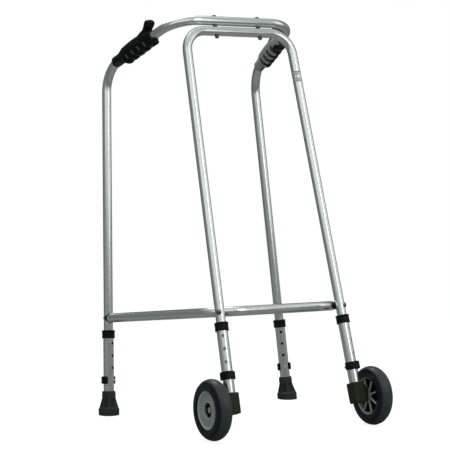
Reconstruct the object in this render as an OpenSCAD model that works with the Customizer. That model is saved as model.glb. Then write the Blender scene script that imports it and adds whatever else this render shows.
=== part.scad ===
// Wheeled walking frame. A rear tube bends over into two sloping handles and a
// top crossbar, a front tube of upside-down U shape is bolted under it, and a
// U-shaped brace joins the four legs low down. Each leg telescopes: an outer
// extension slides on the frame tube and an E-clip locks it at one of four
// holes. The rear legs end in rubber ferrules and the front legs in wheels.
//
// Millimetres. +Z is up, -Y is the front with the wheels, and +X is the user's
// left. The origin is on the floor at the middle of the outline. Every piece is
// drawn on the left side and mirrored for the right side.

/* [Tubes] */
// Outer diameter of the frame tubes
tube_d = 22.2; // [21:0.1:23]
// Wall thickness of the frame tubes
tube_wall = 1.6; // [1.2:0.1:2]
// Outer diameter of the leg extensions
extension_d = 25.4; // [25:0.1:26]
// Centreline radius of the rear tube's bends
rear_bend_r = 76; // [65:1:80]
// Centreline radius of the front tube's bends
front_bend_r = 53; // [45:1:65]
// Centreline radius of the lower brace's bends
brace_bend_r = 80; // [70:1:82]

/* [Rear tube] */
// Half the distance between the rear legs at the floor
rear_foot_x = 253.3; // [240:0.1:270]
// How far the rear legs stand behind the origin at the floor
rear_foot_y = 199; // [185:0.1:210]
// Half the distance between the corners over the rear legs
back_corner_x = 209.9; // [200:0.1:220]
// How far those corners are behind the origin
back_corner_y = 296.2; // [285:0.1:305]
// Height of those corners
back_corner_z = 833; // [820:0.5:845]
// Half the distance between the crossbar's corners
crossbar_corner_x = 159.9; // [155:0.1:165]
// How far the rear crossbar is behind the origin
crossbar_y = 28.5; // [20:0.1:35]
// Height of the rear crossbar's centreline
crossbar_z = 938.9; // [935:0.1:945]

/* [Front tube] */
// Half the distance between the front legs' lines at the floor
front_foot_x = 169.5; // [160:0.1:180]
// How far those lines are in front of the origin at the floor
front_foot_y = 261; // [250:0.1:270]
// Half the distance between the front tube's corners
front_corner_x = 142.2; // [138:0.1:146]
// How far the front crossbar is behind the origin
front_corner_y = 19.3; // [10:0.1:25]
// Height of the front crossbar's centreline
front_corner_z = 914.2; // [905:0.1:916]
// Distance between the two bolts through the crossbars
crossbar_bolt_pitch = 118; // [100:1:130]

/* [Lower brace] */
// Height of the brace where it meets the rear legs
brace_rear_z = 230; // [225:0.5:250]
// Height of the brace where it meets the front legs
brace_front_z = 275.4; // [265:0.5:290]
// Thickness of the saddle between the brace and a front leg
saddle_t = 3; // [2:0.5:5]

/* [Leg extensions] */
// Distance between the height holes
hole_pitch = 29.5; // [25:0.5:30]
// Number of height holes in each extension
hole_count = 4; // [2:1:4]
// Height of the rear clips at rest
rear_clip_z = 82; // [75:0.5:90]
// Height of the front clips at rest
front_clip_z = 138; // [132:0.5:145]
// Angle of the rear clips, outwards from straight back
rear_clip_turn = 25; // [0:1:45]
// Angle of the front clips, outwards from straight ahead
front_clip_turn = 27; // [0:1:45]
// Height of a clip along the leg
clip_h = 18; // [14:0.5:22]

/* [Ferrules] */
// Radius of a ferrule at the floor
ferrule_r = 25; // [22:0.5:28]
// Height of a ferrule along the leg
ferrule_h = 56; // [50:1:60]

/* [Wheels] */
// Outer radius of a tyre
wheel_r = 68.2; // [62:0.1:70]
// Radius of a tyre's round section
tyre_section_r = 18.5; // [15:0.5:19]
// Radius of a hub's rim
rim_r = 44; // [40:0.1:45]
// Distance of a wheel's middle plane from the centre plane
wheel_x = 212.5; // [211:0.5:218]
// How far the axle is behind its leg's centreline
axle_set_back = 6; // [0:0.5:6]
// Number of ribs in each hub
rib_count = 8; // [5:1:10]

/* [Handgrips] */
// Distance from a back corner to the grip's rear end
grip_start = 42; // [40:1:60]
// Length of a grip
grip_length = 158; // [140:1:160]

/* [Hidden] */
$fn = 64;
TINY = 0.02;
UP = [0, 0, 1];
ACROSS = [1, 0, 0];

tube_r = tube_d / 2;
tube_bore_r = tube_r - tube_wall;
extension_r = extension_d / 2;
extension_bore_r = extension_r - 1.2;
running_fit = 0.05;
inner_tube_tail = 20;
bolt_r = 3;
bolt_head_r = 6;
bolt_clearance = 0.1;
bolt_end = 4;
axle_r = 4;
bend_lap = 1;
cut_reach = 80;

function unit(v) = v / norm(v);
function square_to(v, axis) = unit(v - axis * (v * axis));
function turned(angle, y_sign) = [sin(angle), y_sign * cos(angle), 0];
function at_height(foot, up, z) = foot + up * (z - foot[2]) / up[2];
function basis(x, y, z, origin) = [
  [x[0], y[0], z[0], origin[0]],
  [x[1], y[1], z[1], origin[1]],
  [x[2], y[2], z[2], origin[2]],
  [0, 0, 0, 1]
];

rear_foot = [rear_foot_x, rear_foot_y, 0];
back_corner = [back_corner_x, back_corner_y, back_corner_z];
crossbar_corner = [crossbar_corner_x, crossbar_y, crossbar_z];
rear_up = unit(back_corner - rear_foot);
rear_clip_out = square_to(turned(rear_clip_turn, 1), rear_up);
rear_clip_at = at_height(rear_foot, rear_up, rear_clip_z);

front_foot = [front_foot_x, -front_foot_y, 0];
front_corner = [front_corner_x, front_corner_y, front_corner_z];
front_up = unit(front_corner - front_foot);
front_clip_out = square_to(turned(front_clip_turn, -1), front_up);
front_clip_at = at_height(front_foot, front_up, front_clip_z);

handle_dir = unit(crossbar_corner - back_corner);
handle_up = square_to(UP, handle_dir);

brace_rear = at_height(rear_foot, rear_up, brace_rear_z);
brace_leg = at_height(front_foot, front_up, brace_front_z);
// The middle of the brace's bend lies on the bolt's line, so its corner is
// settled by repeating the step that moves it there
function outwards_at(corner) = unit(ACROSS - unit(brace_rear - corner));
function bend_height(corner) =
  brace_bend_r * (1 / cos(acos(unit(brace_rear - corner) * ACROSS) / 2) - 1);
function settled(corner, steps) = steps == 0 ? corner : settled(
  brace_leg - outwards_at(corner) * (tube_d + saddle_t - bend_height(corner)), steps - 1
);
brace_corner = settled(brace_leg, 8);
brace_bolt_dir = outwards_at(brace_corner);
brace_dir = unit(brace_rear - brace_corner);
brace_tangent = unit(brace_dir + ACROSS);
brace_grip = 1.5 * tube_d + saddle_t + 0.3;
brace_cap_t = 2.5;
brace_cap_r = tube_r + 0.8;

brace_saddle_r = 9;
plug_length = 42;

crossbar_saddle_r = 5.5;
crossbar_mid = [0, crossbar_y, crossbar_z];
front_bar_mid = [0, front_corner_y, front_corner_z];
crossbar_bolt_dir = unit(crossbar_mid - front_bar_mid);
bar_gap = norm(crossbar_mid - front_bar_mid);

collar_h = 19.5;
collar_r = 16;
collar_bottom = hole_pitch * (hole_count - 1) + 12;
extension_top = collar_bottom + collar_h - 4;
leg_end_z = 9;
disc_t = 2;
rear_extension_end = -(rear_clip_z - leg_end_z) / rear_up[2];
front_extension_end = -(front_clip_z - 77) / front_up[2];
clip_prong_r = 3.2;
hole_r = clip_prong_r + 0.3;
prong_tip = 5.5;

axle_leg = at_height(front_foot, front_up, wheel_r);
axle_at = [wheel_x, axle_leg[1] + axle_set_back, wheel_r];
block_out_x = wheel_x - 18;
axle_end_x = axle_leg[0] - 10;
block_low_z = 56;
block_high_z = 101;
pin_at = at_height(front_foot, front_up, 90);
pin_r = 2;
bush_r = 6;

rear_path = [crossbar_mid, crossbar_corner, back_corner, rear_clip_at - rear_up * inner_tube_tail];
front_path = [front_bar_mid, front_corner, front_clip_at - front_up * inner_tube_tail];
brace_path = [[0, brace_corner[1], brace_corner[2]], brace_corner, brace_rear];

// ---- Placing ----

// The children on the right side as well as the left
module both_sides() {
  children();
  mirror(ACROSS) children();
}

// Local Z runs along dir from origin, and local X points as near to aim as it can
module aimed(origin, dir, aim) {
  x = square_to(aim, dir);
  multmatrix(basis(x, cross(dir, x), dir, origin)) children();
}

module on_rear_leg() aimed(rear_clip_at, rear_up, rear_clip_out) children();
module on_front_leg() aimed(front_clip_at, front_up, front_clip_out) children();
module on_axle() aimed(axle_at, ACROSS, UP) children();

// ---- Bent tubes ----
// A path is a list of corners from the centre plane outwards. Each bend is a
// hair thinner than the straights and laps into them, as a drawn bend does.

function heading(path, i) = unit(path[i + 1] - path[i]);
function bend_normal(path, i) = unit(cross(heading(path, i - 1), heading(path, i)));
function turn_at(path, i) = acos(heading(path, i - 1) * heading(path, i));
function inset(path, i, bend_r) =
  (i == 0 || i == len(path) - 1) ? 0 : bend_r * tan(turn_at(path, i) / 2);
function longer(path) = [
  for (i = [0:len(path) - 1]) i < len(path) - 1 ? path[i] : path[i] + heading(path, i - 1)
];

module straight_rod(path, i, bend_r, r) {
  dir = heading(path, i);
  start = path[i] + dir * inset(path, i, bend_r);
  finish = path[i + 1] - dir * inset(path, i + 1, bend_r);
  reach = norm(finish - start);
  // The first straight crosses the centre plane in one piece
  before = i == 0 ? reach : 0;
  aimed(start, dir, bend_normal(path, max(i, 1)))
    translate([0, 0, -before])
      cylinder(h = reach + before, r = r);
}

module bend_rod(path, i, bend_r, r) {
  lap = bend_lap / bend_r * 180 / PI;
  dir = heading(path, i - 1);
  outwards = cross(dir, bend_normal(path, i));
  start = path[i] - dir * inset(path, i, bend_r);
  multmatrix(basis(outwards, dir, cross(outwards, dir), start - outwards * bend_r))
    rotate([0, 0, -lap])
      rotate_extrude(angle = turn_at(path, i) + 2 * lap)
        translate([bend_r, 0])
          circle(r = r - TINY);
}

module bent_rod(path, bend_r, r) {
  straight_rod(path, 0, bend_r, r);
  both_sides() {
    for (i = [1:len(path) - 2]) {
      straight_rod(path, i, bend_r, r);
      bend_rod(path, i, bend_r, r);
    }
  }
}

module bent_tube(path, bend_r) {
  difference() {
    bent_rod(path, bend_r, tube_r);
    bent_rod(longer(path), bend_r, tube_bore_r);
  }
}

// The notch in a frame tube's hidden lower end that the clip's prong slides in
module prong_notch() {
  rotate([0, 90, 0])
    cylinder(h = cut_reach, r = hole_r, center = true);
  translate([-cut_reach / 2, -hole_r, -inner_tube_tail - 1])
    cube([cut_reach, 2 * hole_r, inner_tube_tail + 1]);
}

// ---- Fasteners ----

// A domed head standing on the plane z = 0
module dome(r, h) {
  sphere_r = (r * r + h * h) / (2 * h);
  intersection() {
    translate([0, 0, h - sphere_r])
      sphere(r = sphere_r);
    cylinder(h = h + 1, r = r + 1);
  }
}

module bolt_shank(length) translate([0, 0, -length]) cylinder(h = length, r = bolt_r);

// A domed head whose flange reaches a little below the plane z = 0
module bolt_head(below) {
  translate([0, 0, -below])
    cylinder(h = below + 1.2, r = bolt_head_r);
  translate([0, 0, 1])
    dome(bolt_head_r - 0.6, 3);
}

// A domed nut that hangs below the plane z = 0
module dome_nut(r) {
  mirror(UP) difference() {
    union() {
      cylinder(h = 4, r = 5.8, $fn = 6);
      translate([0, 0, 3.6])
        dome(4.6, 3.6);
    }
    translate([0, 0, -1])
      cylinder(h = 6, r = r);
  }
}

module at_crossbar_bolts() {
  both_sides()
    aimed(front_bar_mid + ACROSS * crossbar_bolt_pitch / 2, crossbar_bolt_dir, ACROSS)
      children();
}

module at_brace_bolts() both_sides() aimed(brace_leg, brace_bolt_dir, UP) children();
module at_brace_ends() both_sides() aimed(brace_rear, brace_dir, UP) children();

// ---- Frame ----

module rear_frame_tube() color("silver") difference() {
  bent_tube(rear_path, rear_bend_r);
  at_crossbar_bolts()
    cylinder(h = cut_reach, r = bolt_r + bolt_clearance);
  at_brace_ends()
    cylinder(h = cut_reach, r = bolt_r + bolt_clearance, center = true);
  both_sides() on_rear_leg() prong_notch();
}

module front_frame_tube() color("silver") difference() {
  bent_tube(front_path, front_bend_r);
  at_crossbar_bolts()
    cylinder(h = cut_reach, r = bolt_r + bolt_clearance, center = true);
  at_brace_bolts()
    cylinder(h = cut_reach, r = bolt_r + bolt_clearance, center = true);
  both_sides() on_front_leg() prong_notch();
}

module lower_brace_tube() color("silver") difference() {
  bent_tube(brace_path, brace_bend_r);
  // The ends are coped round the caps that cup the rear legs
  both_sides() aimed(brace_rear, rear_up, ACROSS)
    cylinder(h = cut_reach, r = tube_r + brace_cap_t, center = true);
  at_brace_bolts()
    translate([0, 0, -cut_reach])
      cylinder(h = cut_reach, r = bolt_r + bolt_clearance);
}

module crossbar_bolts() color("dimgray") at_crossbar_bolts()
  translate([0, 0, bar_gap + tube_r]) {
    bolt_shank(bar_gap + tube_d + bolt_end);
    bolt_head(0);
  }

module crossbar_nuts() color("dimgray") at_crossbar_bolts()
  translate([0, 0, -tube_r])
    dome_nut(bolt_r);

module crossbar_saddles() color("black") difference() {
  at_crossbar_bolts()
    cylinder(h = bar_gap, r = crossbar_saddle_r);
  for (bar = [crossbar_mid, front_bar_mid])
    translate(bar)
      rotate([0, 90, 0])
        cylinder(h = crossbar_bolt_pitch + cut_reach, r = tube_r, center = true);
  at_crossbar_bolts()
    cylinder(h = cut_reach, r = bolt_r);
}

// The flange is seated to the leg, which the bolt crosses at a slant
module brace_front_bolts() color("dimgray") {
  at_brace_bolts()
    translate([0, 0, tube_r])
      bolt_shank(tube_r + brace_grip + bolt_end);
  difference() {
    at_brace_bolts()
      translate([0, 0, tube_r])
        bolt_head(3);
    both_sides() aimed(brace_leg, front_up, ACROSS)
      cylinder(h = cut_reach, r = tube_r, center = true);
  }
}

module brace_front_nuts() color("dimgray") at_brace_bolts()
  translate([0, 0, -brace_grip])
    dome_nut(bolt_r);

module brace_front_saddles() color("black") difference() {
  at_brace_bolts()
    translate([0, 0, -1.5 * tube_r - saddle_t])
      cylinder(h = 1.5 * tube_r + saddle_t, r = brace_saddle_r);
  both_sides()
    aimed(brace_leg, front_up, ACROSS)
      cylinder(h = cut_reach, r = tube_r, center = true);
  // The bend's tangent where the bolt crosses it
  both_sides()
    aimed(brace_leg - brace_bolt_dir * (tube_d + saddle_t), brace_tangent, UP)
      cylinder(h = cut_reach, r = tube_r, center = true);
  at_brace_bolts()
    cylinder(h = cut_reach, r = bolt_r, center = true);
}

module brace_rear_bolts() color("dimgray") at_brace_ends()
  translate([0, 0, tube_r]) {
    bolt_shank(tube_d + 25);
    bolt_head(0);
  }

// A threaded plug in each end of the brace, with a cap that cups the rear leg
module brace_rear_plugs() color("black") difference() {
  union() {
    at_brace_ends()
      translate([0, 0, -plug_length])
        cylinder(h = plug_length, r = tube_bore_r);
    intersection() {
      at_brace_ends()
        translate([0, 0, -plug_length])
          cylinder(h = plug_length, r = brace_cap_r);
      both_sides() aimed(brace_rear, rear_up, ACROSS)
        cylinder(h = cut_reach, r = tube_r + brace_cap_t, center = true);
    }
  }
  both_sides() aimed(brace_rear, rear_up, ACROSS)
    cylinder(h = cut_reach, r = tube_r + TINY, center = true);
  at_brace_ends()
    cylinder(h = 2 * plug_length + 2, r = bolt_r, center = true);
}

// ---- Handgrips ----

// One oval slice of the grip, from high above the tube's axis to low below it
module grip_slice(along, half_w, high, low) {
  translate([0, (high - low) / 2, along])
    scale([half_w, (high + low) / 2, 1])
      cylinder(h = 0.5, r = 1, $fn = 32);
}

module finger_ridge(along) {
  hull() {
    grip_slice(along - 8, 14, 10, 18);
    grip_slice(along, 16, 10, 23);
    grip_slice(along + 8, 14, 10, 18);
  }
}

module handgrip_left_shape() {
  bulge = grip_length / 2;
  difference() {
    aimed(back_corner + handle_dir * grip_start, handle_dir, cross(handle_up, handle_dir)) {
      hull() {
        grip_slice(0, 13.3, 13.3, 13.3);
        grip_slice(28, 14, 17, 13.5);
        grip_slice(bulge - 25, 17, 20.5, 17);
        grip_slice(bulge + 20, 17.5, 20.5, 18);
        grip_slice(grip_length - 26, 17, 18, 19);
        grip_slice(grip_length - 0.5, 15, 16, 18);
      }
      for (i = [0:3]) finger_ridge(48 + 24 * i);
      // The thumb stop leans forward over the tube
      hull() {
        for (x = [-5, 5]) {
          translate([x, 12, grip_length - 19])
            sphere(r = 7, $fn = 24);
          translate([x, 29, grip_length - 2])
            sphere(r = 7.5, $fn = 24);
        }
      }
      hull() {
        grip_slice(grip_length - 16, 15, 10, 22);
        grip_slice(grip_length + 6, 12, -14, 20);
      }
    }
    straight_rod(rear_path, 1, rear_bend_r, tube_r);
    bend_rod(rear_path, 2, rear_bend_r, tube_r);
    bend_rod(rear_path, 1, rear_bend_r, tube_r);
  }
}

module handgrip_left() color("#242527") handgrip_left_shape();
module handgrip_right() color("#242527") mirror(ACROSS) handgrip_left_shape();

// ---- Telescoping legs ----

module leg_extension(low_end) {
  difference() {
    translate([0, 0, low_end])
      cylinder(h = extension_top - low_end, r = extension_r);
    translate([0, 0, low_end - 1])
      cylinder(h = extension_top - low_end + 2, r = extension_bore_r);
    for (i = [0:hole_count - 1])
      translate([0, 0, i * hole_pitch])
        rotate([0, 90, 0])
          cylinder(h = cut_reach, r = hole_r, center = true);
  }
}

module leg_collar() {
  difference() {
    translate([0, 0, collar_bottom])
      cylinder(h = collar_h, r = collar_r);
    translate([0, 0, collar_bottom - 1])
      cylinder(h = extension_top - collar_bottom + 1, r = extension_r);
    translate([0, 0, collar_bottom - 1])
      cylinder(h = collar_h + 2, r = tube_r + running_fit);
  }
}

// A C-shaped band with straight arm ends, so that it pulls off along its prong
module height_clip() {
  band_r = extension_r + 4.4;
  bore_r = extension_r + 0.3;
  thumb_pad_r = 9.5;
  arm = 8;
  translate([0, 0, -clip_h / 2]) linear_extrude(height = clip_h) difference() {
    union() {
      circle(r = band_r);
      translate([-arm, -band_r])
        square([arm, 2 * band_r]);
      translate([extension_r - 2, 0])
        circle(r = thumb_pad_r);
    }
    circle(r = bore_r);
    translate([-arm - band_r, -bore_r])
      square([arm + band_r, 2 * bore_r]);
    translate([-arm - band_r, -band_r - 1])
      square([band_r, 2 * band_r + 2]);
  }
  rotate([0, 90, 0])
    translate([0, 0, -extension_r - prong_tip])
      cylinder(h = 2 * extension_r + prong_tip + 2, r = clip_prong_r);
}

module leg_extension_rear_left() color("silver") on_rear_leg() leg_extension(rear_extension_end);
module leg_extension_rear_right() color("silver") mirror(ACROSS) on_rear_leg() leg_extension(rear_extension_end);
module leg_extension_front_left() color("silver") front_extension_with_pin_hole();
module leg_extension_front_right() color("silver") mirror(ACROSS) front_extension_with_pin_hole();
module leg_collar_rear_left() color("#202020") on_rear_leg() leg_collar();
module leg_collar_rear_right() color("#202020") mirror(ACROSS) on_rear_leg() leg_collar();
module leg_collar_front_left() color("#202020") on_front_leg() leg_collar();
module leg_collar_front_right() color("#202020") mirror(ACROSS) on_front_leg() leg_collar();
module height_clip_rear_left() color("#1a1a1a") on_rear_leg() height_clip();
module height_clip_rear_right() color("#1a1a1a") mirror(ACROSS) on_rear_leg() height_clip();
module height_clip_front_left() color("#1a1a1a") on_front_leg() height_clip();
module height_clip_front_right() color("#1a1a1a") mirror(ACROSS) on_front_leg() height_clip();

// ---- Ferrules ----

module ferrule() {
  base_h = 15.5;
  shoulder_h = 41;
  difference() {
    aimed(rear_foot, rear_up, ACROSS)
      rotate_extrude()
        polygon([
          [0, -6], [ferrule_r, -6], [ferrule_r, base_h], [ferrule_r - 1.6, base_h + 1.5],
          [16, shoulder_h], [15.6, ferrule_h],
          [extension_r, ferrule_h], [extension_r, leg_end_z - disc_t], [0, leg_end_z - disc_t]
        ]);
    translate([rear_foot_x, rear_foot_y, -cut_reach / 2])
      cube(cut_reach, center = true);
  }
}

module ferrule_disc() aimed(rear_foot, rear_up, ACROSS)
  translate([0, 0, leg_end_z - disc_t])
    cylinder(h = disc_t, r = extension_r);

module ferrule_left() color("#3c4141") ferrule();
module ferrule_right() color("#3c4141") mirror(ACROSS) ferrule();
module ferrule_disc_left() color("gray") ferrule_disc();
module ferrule_disc_right() color("gray") mirror(ACROSS) ferrule_disc();

// ---- Wheels ----

// The moulded block that joins the front leg's lower end to the axle
module wheel_block() {
  low = at_height(front_foot, front_up, block_low_z);
  high = at_height(front_foot, front_up, block_high_z);
  half = 16;
  corner_r = 7;
  difference() {
    union() {
      aimed(low, front_up, ACROSS) linear_extrude(height = norm(high - low)) {
        for (x = [-1, 1], y = [-1, 1])
          translate([x, y] * (half - corner_r))
            circle(r = corner_r);
        square([2 * half, 2 * (half - corner_r)], center = true);
        square([2 * (half - corner_r), 2 * half], center = true);
      }
      // The web that reaches out to the hub
      translate([0, axle_at[1] + 13, 0]) rotate([90, 0, 0]) linear_extrude(height = 26)
        polygon([
          [axle_leg[0], wheel_r - 11], [block_out_x, wheel_r - 11], [block_out_x, wheel_r + 12],
          [block_out_x - 8, wheel_r + 28], [axle_leg[0], wheel_r + 28]
        ]);
      translate([axle_leg[0], axle_at[1], wheel_r])
        rotate([0, 90, 0])
          cylinder(h = block_out_x - axle_leg[0], r = 13.4);
    }
    on_front_leg()
      translate([0, 0, front_extension_end])
        cylinder(h = cut_reach, r = extension_r);
    // The axle bolt's blind hole
    translate([axle_end_x, axle_at[1], wheel_r])
      rotate([0, 90, 0])
        cylinder(h = cut_reach, r = axle_r);
    block_pin_hole();
  }
}

module on_pin() aimed(pin_at, square_to([0, 1, 0], front_up), UP) children();
module block_pin_hole() on_pin() cylinder(h = cut_reach, r = pin_r, center = true);

// A spring pin through the block and the tube
module block_pin() on_pin() difference() {
  cylinder(h = 30, r = pin_r, center = true);
  cylinder(h = cut_reach, r = pin_r / 2, center = true);
}

module front_extension_with_pin_hole() difference() {
  on_front_leg() leg_extension(front_extension_end);
  block_pin_hole();
}

module axle_bolt() on_axle() {
  head_at = 2.6;
  translate([0, 0, axle_end_x - wheel_x])
    cylinder(h = wheel_x - axle_end_x + head_at, r = axle_r);
  translate([0, 0, head_at])
    cylinder(h = 5.3, r = 7.5, $fn = 6);
}

module axle_washers() on_axle() {
  for (low = [-17.95, 1.05]) {
    translate([0, 0, low]) difference() {
      cylinder(h = low < 0 ? 0.9 : 1.5, r = 8.5);
      translate([0, 0, -1])
        cylinder(h = 4, r = axle_r);
    }
  }
}

// The hub's outer face is a plain dished disc and its inner side is ribbed
module wheel_hub() {
  rim_half = 14.5;
  rim_t = 4;
  web_low = 8.5;
  web_high = 11.5;
  recess_r = 17;
  boss_r = 11;
  boss_low = -17;
  boss_high = 1;
  on_axle() {
    rotate_extrude() {
      translate([rim_r - rim_t, -rim_half])
        square([rim_t, 2 * rim_half]);
      translate([recess_r, web_low])
        square([rim_r - rim_t - recess_r + 1, web_high - web_low]);
      translate([recess_r, boss_high - 3])
        square([2.5, web_high - boss_high + 3]);
      translate([boss_r - 1, boss_high - 3])
        square([recess_r - boss_r + 2, 3]);
      translate([bush_r, boss_low])
        square([boss_r - bush_r, boss_high - boss_low]);
    }
    for (i = [0:rib_count - 1])
      rotate([0, 0, (i + 0.5) * 360 / rib_count])
        translate([boss_r - 0.5, -1.4, 1 - rim_half])
          cube([rim_r - rim_t - boss_r + 1, 2.8, rim_half - 1 + web_low + 1]);
  }
}

module hub_bush() on_axle() difference() {
  translate([0, 0, -17])
    cylinder(h = 18, r = bush_r);
  translate([0, 0, -18])
    cylinder(h = 20, r = axle_r + running_fit);
}

module tyre() on_axle() rotate_extrude() difference() {
  translate([wheel_r - tyre_section_r, 0])
    circle(r = tyre_section_r);
  translate([0, -tyre_section_r])
    square([rim_r, 2 * tyre_section_r]);
}

module wheel_block_left() color("#33352b") wheel_block();
module wheel_block_right() color("#33352b") mirror(ACROSS) wheel_block();
module block_pin_left() color("gray") block_pin();
module block_pin_right() color("gray") mirror(ACROSS) block_pin();
module axle_bolt_left() color("tan") axle_bolt();
module axle_bolt_right() color("tan") mirror(ACROSS) axle_bolt();
module axle_washers_left() color("gray") axle_washers();
module axle_washers_right() color("gray") mirror(ACROSS) axle_washers();
module wheel_hub_left() color("#8f9693") wheel_hub();
module wheel_hub_right() color("#8f9693") mirror(ACROSS) wheel_hub();
module hub_bush_left() color("ivory") hub_bush();
module hub_bush_right() color("ivory") mirror(ACROSS) hub_bush();
module tyre_left() color("#3a3e4a") tyre();
module tyre_right() color("#3a3e4a") mirror(ACROSS) tyre();

rear_frame_tube();
front_frame_tube();
lower_brace_tube();
crossbar_bolts();
crossbar_nuts();
crossbar_saddles();
brace_front_bolts();
brace_front_nuts();
brace_front_saddles();
brace_rear_bolts();
brace_rear_plugs();
handgrip_left();
handgrip_right();
leg_extension_rear_left();
leg_extension_rear_right();
leg_extension_front_left();
leg_extension_front_right();
leg_collar_rear_left();
leg_collar_rear_right();
leg_collar_front_left();
leg_collar_front_right();
height_clip_rear_left();
height_clip_rear_right();
height_clip_front_left();
height_clip_front_right();
ferrule_left();
ferrule_right();
ferrule_disc_left();
ferrule_disc_right();
wheel_block_left();
wheel_block_right();
block_pin_left();
block_pin_right();
axle_bolt_left();
axle_bolt_right();
axle_washers_left();
axle_washers_right();
wheel_hub_left();
wheel_hub_right();
hub_bush_left();
hub_bush_right();
tyre_left();
tyre_right();
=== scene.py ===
"""Wheeled walking frame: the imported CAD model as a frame, dressed with detailed
meshes and procedural materials. Shapes are worked out in millimetres on the
left side (+X) and mirrored for the right side."""

import math

import bpy
from mathutils import Matrix, Vector


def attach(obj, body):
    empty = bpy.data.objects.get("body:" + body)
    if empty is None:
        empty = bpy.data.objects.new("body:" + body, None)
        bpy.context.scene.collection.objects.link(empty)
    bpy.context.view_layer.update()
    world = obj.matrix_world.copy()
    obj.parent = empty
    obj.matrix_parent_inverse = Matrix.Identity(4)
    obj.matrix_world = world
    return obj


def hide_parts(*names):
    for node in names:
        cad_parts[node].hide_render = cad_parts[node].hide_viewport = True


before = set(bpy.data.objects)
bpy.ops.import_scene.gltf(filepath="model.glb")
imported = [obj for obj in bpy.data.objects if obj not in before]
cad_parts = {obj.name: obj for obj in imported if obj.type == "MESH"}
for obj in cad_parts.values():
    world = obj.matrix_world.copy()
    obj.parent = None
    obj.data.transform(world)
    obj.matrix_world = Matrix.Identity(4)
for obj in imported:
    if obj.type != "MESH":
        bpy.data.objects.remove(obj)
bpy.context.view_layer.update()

MM = 0.001
SIDES = (("left", False), ("right", True))
UP = Vector((0, 0, 1))
ACROSS = Vector((1, 0, 0))

# ---------------------------------------------------------------- layout, mm
TUBE_R = 11.1
EXTENSION_R = 12.7
REAR_FOOT = Vector((253.3, 199, 0))
BACK_CORNER = Vector((209.9, 296.2, 833))
CROSSBAR_CORNER = Vector((159.9, 28.5, 938.9))
FRONT_FOOT = Vector((169.5, -261, 0))
FRONT_CORNER = Vector((142.2, 19.3, 914.2))
REAR_BEND_R, FRONT_BEND_R, BRACE_BEND_R = 76, 53, 80
SADDLE_T = 3
WHEEL_R, RIM_R = 68.2, 44
TYRE_SECTION_R = 18.5
WHEEL_X, AXLE_SET_BACK = 212.5, 6
GRIP_START, GRIP_END = 42, 159
HOLE_PITCH = 29.5
COLLAR_BOTTOM = 3 * HOLE_PITCH + 12
COLLAR_H = 19.5
CLIP_H = 18
TUBE_TAIL = 20
REAR_CLIP_Z, FRONT_CLIP_Z = 82, 138
REAR_CLIP_TURN, FRONT_CLIP_TURN = 25, 27
BRACE_REAR_Z, BRACE_FRONT_Z = 230, 275.4
TUBE_SEGMENTS = 64


def square_to(v, axis):
    """The direction of v with its part along axis taken out."""
    return (v - axis * v.dot(axis)).normalized()


def turned(angle, y_sign):
    """The level direction at angle to the side from straight back or forward."""
    a = math.radians(angle)
    return Vector((math.sin(a), y_sign * math.cos(a), 0))


def at_height(foot, up, z):
    """The point at height z on the line from foot along up."""
    return foot + up * ((z - foot.z) / up.z)


def aimed(origin, direction, aim):
    """Local Z along direction from origin, local X as near to aim as it can be."""
    x = square_to(aim, direction)
    y = direction.cross(x)
    rows = [[x[i], y[i], direction[i], origin[i]] for i in range(3)]
    return Matrix(rows + [[0, 0, 0, 1]])


REAR_UP = (BACK_CORNER - REAR_FOOT).normalized()
FRONT_UP = (FRONT_CORNER - FRONT_FOOT).normalized()
REAR_CLIP = at_height(REAR_FOOT, REAR_UP, REAR_CLIP_Z)
FRONT_CLIP = at_height(FRONT_FOOT, FRONT_UP, FRONT_CLIP_Z)
REAR_LEG = aimed(
    REAR_CLIP, REAR_UP, square_to(turned(REAR_CLIP_TURN, 1), REAR_UP)
)
FRONT_LEG = aimed(
    FRONT_CLIP, FRONT_UP, square_to(turned(FRONT_CLIP_TURN, -1), FRONT_UP)
)
HANDLE_DIR = (CROSSBAR_CORNER - BACK_CORNER).normalized()
HANDLE_UP = square_to(UP, HANDLE_DIR)
GRIP_AT = aimed(
    BACK_CORNER + HANDLE_DIR * GRIP_START, HANDLE_DIR, HANDLE_UP.cross(HANDLE_DIR)
)
AXLE_LEG = at_height(FRONT_FOOT, FRONT_UP, WHEEL_R)
AXLE_AT = Vector((WHEEL_X, AXLE_LEG.y + AXLE_SET_BACK, WHEEL_R))
AXLE = aimed(AXLE_AT, ACROSS, UP)
BRACE_REAR = at_height(REAR_FOOT, REAR_UP, BRACE_REAR_Z)
BRACE_LEG = at_height(FRONT_FOOT, FRONT_UP, BRACE_FRONT_Z)


def brace_corner():
    """The lower brace's corner, with its bend's middle at the front leg's bolt."""
    corner = BRACE_LEG.copy()
    for _ in range(8):
        back = (BRACE_REAR - corner).normalized()
        out = (ACROSS - back).normalized()
        half_turn = math.acos(back.dot(ACROSS)) / 2
        bend_height = BRACE_BEND_R * (1 / math.cos(half_turn) - 1)
        corner = BRACE_LEG - out * (2 * TUBE_R + SADDLE_T - bend_height)
    return corner


# -------------------------------------------------------------------- shapes
def smooth(x, low, high):
    """0 below low, 1 above high and an even S between them."""
    t = min(max((x - low) / (high - low), 0), 1)
    return t * t * (3 - 2 * t)


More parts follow.
